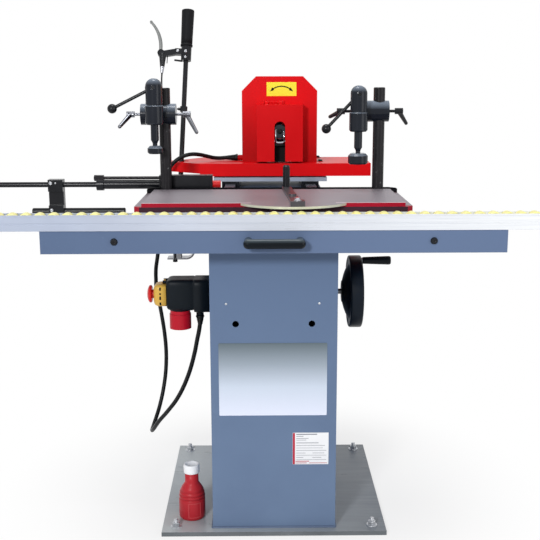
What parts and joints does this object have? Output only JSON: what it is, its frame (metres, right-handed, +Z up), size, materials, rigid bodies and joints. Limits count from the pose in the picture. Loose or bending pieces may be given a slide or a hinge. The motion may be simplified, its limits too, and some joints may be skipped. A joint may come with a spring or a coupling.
{
  "type": "slot mortiser",
  "caption": "Floor-standing slot mortiser: column with rising table and roller support, two eccentric clamps, and a joystick-driven drilling head on a compound slide.",
  "frame": {"origin": "centre of the underside of the square floor plate", "axes": "+X to the operator's right along the roller rail, +Y away from the operator towards the drilling head, +Z up"},
  "size_m": [1.58, 0.957, 1.4048],
  "materials": {
    "floor_grey": "satin",
    "blue_grey": "satin",
    "red_paint": "gloss",
    "black_metal": "satin",
    "steel": "brushed",
    "ground_steel": "ground",
    "bronze": "machined",
    "motor_grey": "satin",
    "chrome": "polished",
    "alloy": "brushed",
    "yellow_plastic": "gloss",
    "black_plastic": "matte",
    "red_plastic": "gloss",
    "cable_rubber": "matte"
  },
  "bodies": {
    "stand": {"base_plate": "floor_grey", "levelling_bolts": "steel", "column": "blue_grey", "column_top": "blue_grey", "lift_housing": "bronze", "head_pedestal": "blue_grey", "lever_bracket": "steel", "switch_box": "black_plastic", "power_inlet": "red_plastic", "cable_loop": "cable_rubber"},
    "handwheel": {"handwheel": "black_plastic", "cross_shaft": "steel"},
    "crank_grip": {"crank_grip": "black_plastic"},
    "lift_screw": {"lift_screw": "steel"},
    "table": {"table_top": "ground_steel", "table_base": "red_paint", "rear_bar": "black_metal", "lift_guides": "steel", "support_carrier": "blue_grey", "arc_plate": "ground_steel", "stop_holder": "black_metal"},
    "mitre_bar": {"mitre_bar": "steel", "stop_pin": "black_metal"},
    "stop_slide_rod": {"stop_slide_rod": "black_metal"},
    "stop_plate": {"stop_plate": "black_metal"},
    "stop_rod": {"stop_rod": "black_metal"},
    "roller_support": {"support_beam": "blue_grey", "roller_rail": "alloy", "rollers": "yellow_plastic", "pull_handle": "black_plastic", "guide_rods": "steel"},
    "saddle": {"saddle": "steel", "cable_drop": "cable_rubber"},
    "carriage": {"head_plate": "red_paint", "hood": "red_paint", "motor": "motor_grey", "motor_cable": "cable_rubber"},
    "chuck_guard": {"chuck_guard": "red_paint"},
    "chuck": {"chuck": "chrome"},
    "lever_cross": {"lever_cross": "steel"},
    "lever": {"lever_rod": "black_metal", "lever_grip": "black_plastic", "brake_bracket": "black_metal", "bowden_cable": "cable_rubber"},
    "brake_blade": {"brake_blade": "steel"},
    "switch_lid": {"switch_lid": "yellow_plastic"},
    "stop_button": {"stop_button": "red_plastic"},
    "loose_plug": {"loose_plug": "red_plastic"},
    "left_post": {"left_post": "black_metal"},
    "left_carrier": {"left_carrier": "black_metal"},
    "left_cam_lever": {"left_cam_lever": "black_metal"},
    "left_plunger": {"left_plunger": "black_metal"},
    "left_inner_lock": {"left_inner_lock": "steel"},
    "left_outer_lock": {"left_outer_lock": "steel"},
    "right_post": {"right_post": "black_metal"},
    "right_carrier": {"right_carrier": "black_metal"},
    "right_cam_lever": {"right_cam_lever": "black_metal"},
    "right_plunger": {"right_plunger": "black_metal"},
    "right_inner_lock": {"right_inner_lock": "black_metal"},
    "right_outer_lock": {"right_outer_lock": "black_metal"}
  },
  "joints": [
    {"name": "table_lift", "type": "slide", "parent": "stand", "child": "table", "axis": [0, 0, 1], "range_m": [0, 0.1]},
    {"name": "handwheel_turn", "type": "hinge", "parent": "stand", "child": "handwheel", "pos_m": [0.208, -0.06, 0.613], "axis": [1, 0, 0], "range_deg": [0, 3600]},
    {"name": "screw_turn", "type": "hinge", "parent": "stand", "child": "lift_screw", "pos_m": [0, -0.06, 0.7], "axis": [0, 0, 1], "range_deg": [-3600, 0]},
    {"name": "crank_grip_spin", "type": "hinge", "parent": "handwheel", "child": "crank_grip", "pos_m": [0.29, -0.06, 0.7], "axis": [1, 0, 0], "continuous": true},
    {"name": "mitre_swivel", "type": "hinge", "parent": "table", "child": "mitre_bar", "pos_m": [0.05, -0.195, 0.89], "axis": [0, 0, 1], "range_deg": [-30, 30]},
    {"name": "stop_slide", "type": "slide", "parent": "table", "child": "stop_slide_rod", "axis": [1, 0, 0], "range_m": [-0.1, 0.06]},
    {"name": "stop_plate_slide", "type": "slide", "parent": "stop_slide_rod", "child": "stop_plate", "axis": [1, 0, 0], "range_m": [-0.17, 0.025]},
    {"name": "stop_rod_slide", "type": "slide", "parent": "stop_plate", "child": "stop_rod", "axis": [1, 0, 0], "range_m": [-0.15, 0.035]},
    {"name": "support_pull", "type": "slide", "parent": "table", "child": "roller_support", "axis": [0, -1, 0], "range_m": [0, 0.2]},
    {"name": "left_post_swivel", "type": "hinge", "parent": "table", "child": "left_post", "pos_m": [-0.297, 0.03, 1], "axis": [0, 0, 1], "range_deg": [-45, 45]},
    {"name": "left_carrier_slide", "type": "slide", "parent": "left_post", "child": "left_carrier", "axis": [0, 0, 1], "range_m": [-0.09, 0.035]},
    {"name": "left_cam_turn", "type": "hinge", "parent": "left_carrier", "child": "left_cam_lever", "pos_m": [-0.32, -0.023, 1.171], "axis": [0, 1, 0], "range_deg": [-20, 60]},
    {"name": "left_plunger_slide", "type": "slide", "parent": "left_carrier", "child": "left_plunger", "axis": [0, 0, -1], "range_m": [-0.006, 0.002]},
    {"name": "left_inner_lock_turn", "type": "hinge", "parent": "left_carrier", "child": "left_inner_lock", "pos_m": [-0.265, 0.03, 1.097], "axis": [1, 0, 0], "range_deg": [-40, 40]},
    {"name": "left_outer_lock_turn", "type": "hinge", "parent": "left_carrier", "child": "left_outer_lock", "pos_m": [-0.362, 0.03, 1.097], "axis": [1, 0, 0], "range_deg": [-40, 40]},
    {"name": "right_post_swivel", "type": "hinge", "parent": "table", "child": "right_post", "pos_m": [0.297, 0.03, 1], "axis": [0, 0, 1], "range_deg": [-45, 45]},
    {"name": "right_carrier_slide", "type": "slide", "parent": "right_post", "child": "right_carrier", "axis": [0, 0, 1], "range_m": [-0.06, 0.035]},
    {"name": "right_cam_turn", "type": "hinge", "parent": "right_carrier", "child": "right_cam_lever", "pos_m": [0.235, -0.023, 1.151], "axis": [0, 1, 0], "range_deg": [0, 80]},
    {"name": "right_plunger_slide", "type": "slide", "parent": "right_carrier", "child": "right_plunger", "axis": [0, 0, -1], "range_m": [-0.008, 0]},
    {"name": "right_inner_lock_turn", "type": "hinge", "parent": "right_carrier", "child": "right_inner_lock", "pos_m": [0.22, 0.03, 1.104], "axis": [1, 0, 0], "range_deg": [-40, 40]},
    {"name": "right_outer_lock_turn", "type": "hinge", "parent": "right_carrier", "child": "right_outer_lock", "pos_m": [0.323, 0.03, 1.104], "axis": [1, 0, 0], "range_deg": [-40, 40]},
    {"name": "head_plunge", "type": "slide", "parent": "stand", "child": "saddle", "axis": [0, -1, 0], "range_m": [0, 0.13], "deforming": ["cable_drop"]},
    {"name": "head_cross", "type": "slide", "parent": "saddle", "child": "carriage", "axis": [1, 0, 0], "range_m": [-0.135, 0.09]},
    {"name": "guard_hinge", "type": "hinge", "parent": "carriage", "child": "chuck_guard", "pos_m": [0.026, 0.274, 1.122], "axis": [-1, 0, 0], "range_deg": [0, 75]},
    {"name": "chuck_spin", "type": "hinge", "parent": "carriage", "child": "chuck", "pos_m": [0.026, 0.28, 1.037], "axis": [0, 1, 0], "continuous": true},
    {"name": "lever_cross_turn", "type": "hinge", "parent": "stand", "child": "lever_cross", "pos_m": [-0.29, 0.255, 0.682], "axis": [0, 1, 0], "range_deg": [-31, 21]},
    {"name": "lever_tilt", "type": "hinge", "parent": "lever_cross", "child": "lever", "pos_m": [-0.29, 0.255, 0.682], "axis": [0.999, 0, -0.0454], "range_deg": [0, 30.5]},
    {"name": "brake_blade_squeeze", "type": "hinge", "parent": "lever", "child": "brake_blade", "pos_m": [-0.34432, 0.4121, 1.27139], "axis": [-0.0117, 0.9659, -0.2586], "range_deg": [0, 18], "stiffness_Nm_per_rad": 1.2, "springref_deg": -8.59},
    {"name": "switch_lid_hinge", "type": "hinge", "parent": "stand", "child": "switch_lid", "pos_m": [-0.29, -0.15, 0.664], "axis": [0, 1, 0], "range_deg": [0, 90]},
    {"name": "stop_button_push", "type": "slide", "parent": "switch_lid", "child": "stop_button", "axis": [1, 0, 0], "range_m": [0, 0.005], "stiffness_N_per_m": 500, "springref_m": -0.003},
    {"name": "plug_lift", "type": "slide", "parent": "stand", "child": "loose_plug", "axis": [0, 0, 1], "range_m": [0, 0.25]}
  ],
  "couplings": [
    {"joint": "handwheel_turn", "follows": "table_lift", "rad_per_m": 628.3},
    {"joint": "screw_turn", "follows": "table_lift", "rad_per_m": -628.3},
    {"joint": "left_plunger_slide", "follows": "left_cam_turn", "m_per_rad": -0.0056},
    {"joint": "right_plunger_slide", "follows": "right_cam_turn", "m_per_rad": -0.0056},
    {"joint": "lever_cross_turn", "follows": "head_cross", "rad_per_m": 3.7},
    {"joint": "lever_tilt", "follows": "head_plunge", "rad_per_m": 4.02}
  ]
}
